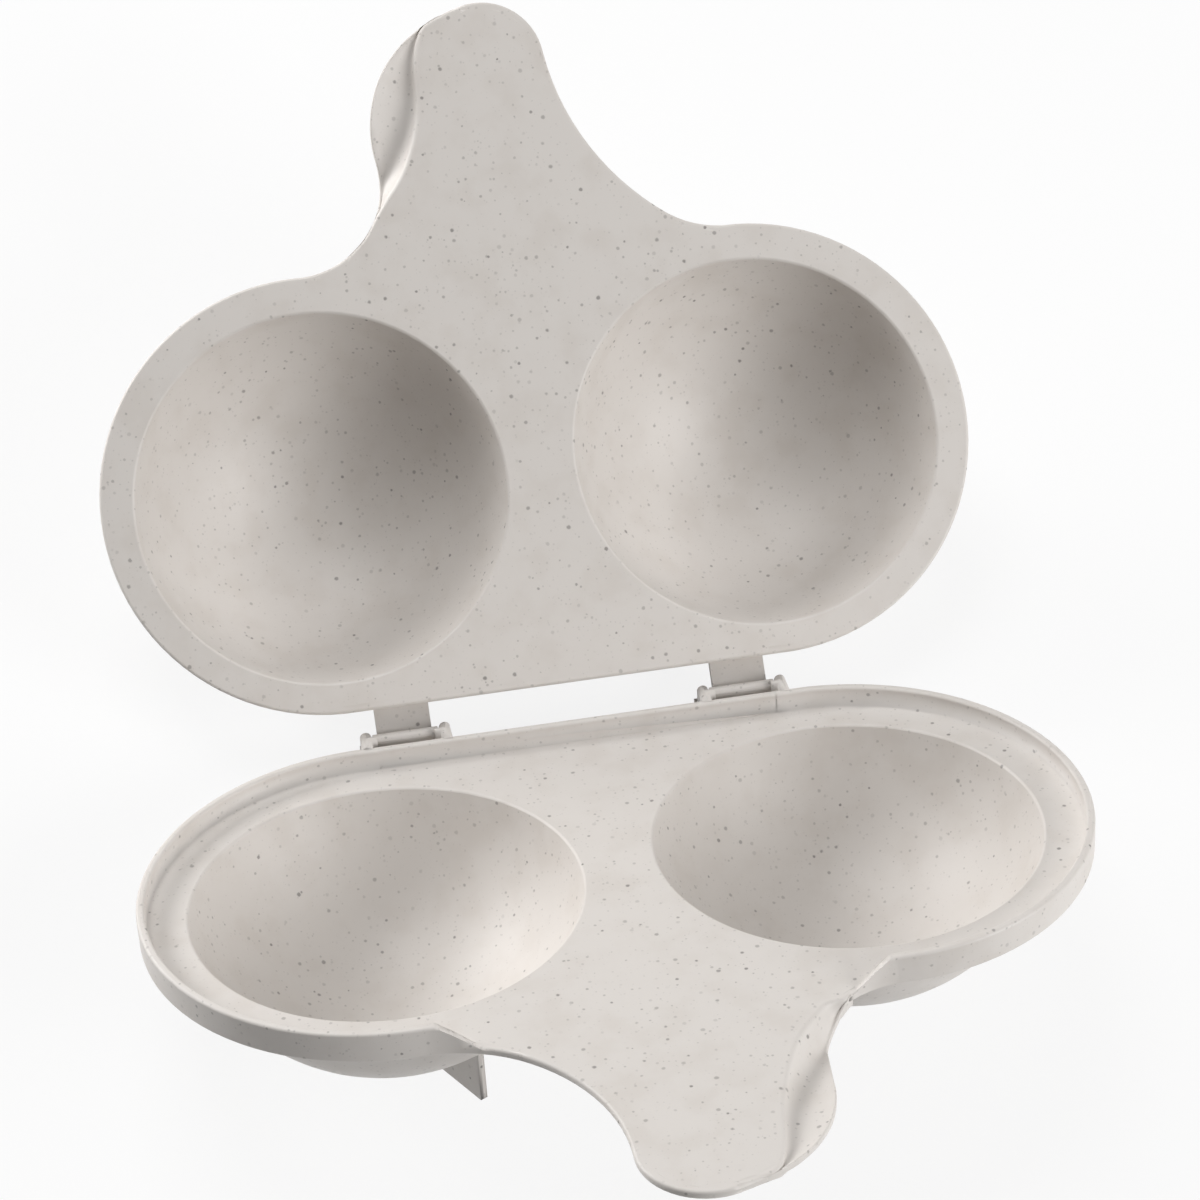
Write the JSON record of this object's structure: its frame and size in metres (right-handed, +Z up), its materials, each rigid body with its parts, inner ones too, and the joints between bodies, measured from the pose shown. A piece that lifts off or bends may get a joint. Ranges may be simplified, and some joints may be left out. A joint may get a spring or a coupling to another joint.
{
  "type": "microwave egg cooker",
  "caption": "Hinged two-cup egg cooker: a rimmed base and a matching lid with round cups, a handle with a scooped thumb lobe on each half, and snap hinges along the back.",
  "frame": {"origin": "on the floor under the centre of the open pair's bounding box", "axes": "+X along the hinge axis, to the right seen from the base's handle; +Y from the base's handle to the lid's; +Z up"},
  "size_m": [0.2052, 0.2918, 0.0941],
  "materials": {
    "stone_base": "matt warm light-grey moulded plastic with many fine dark-grey specks",
    "stone_lid": "matt warm light-grey moulded plastic with many fine dark-grey specks"
  },
  "bodies": {
    "base": {"base": "stone_base"},
    "lid": {"lid": "stone_lid"}
  },
  "joints": [
    {"name": "lid_hinge", "type": "hinge", "parent": "base", "child": "lid", "pos_m": [0, -0.00348, 0.0106], "axis": [1, 0, 0], "range_deg": [0, 124]}
  ]
}
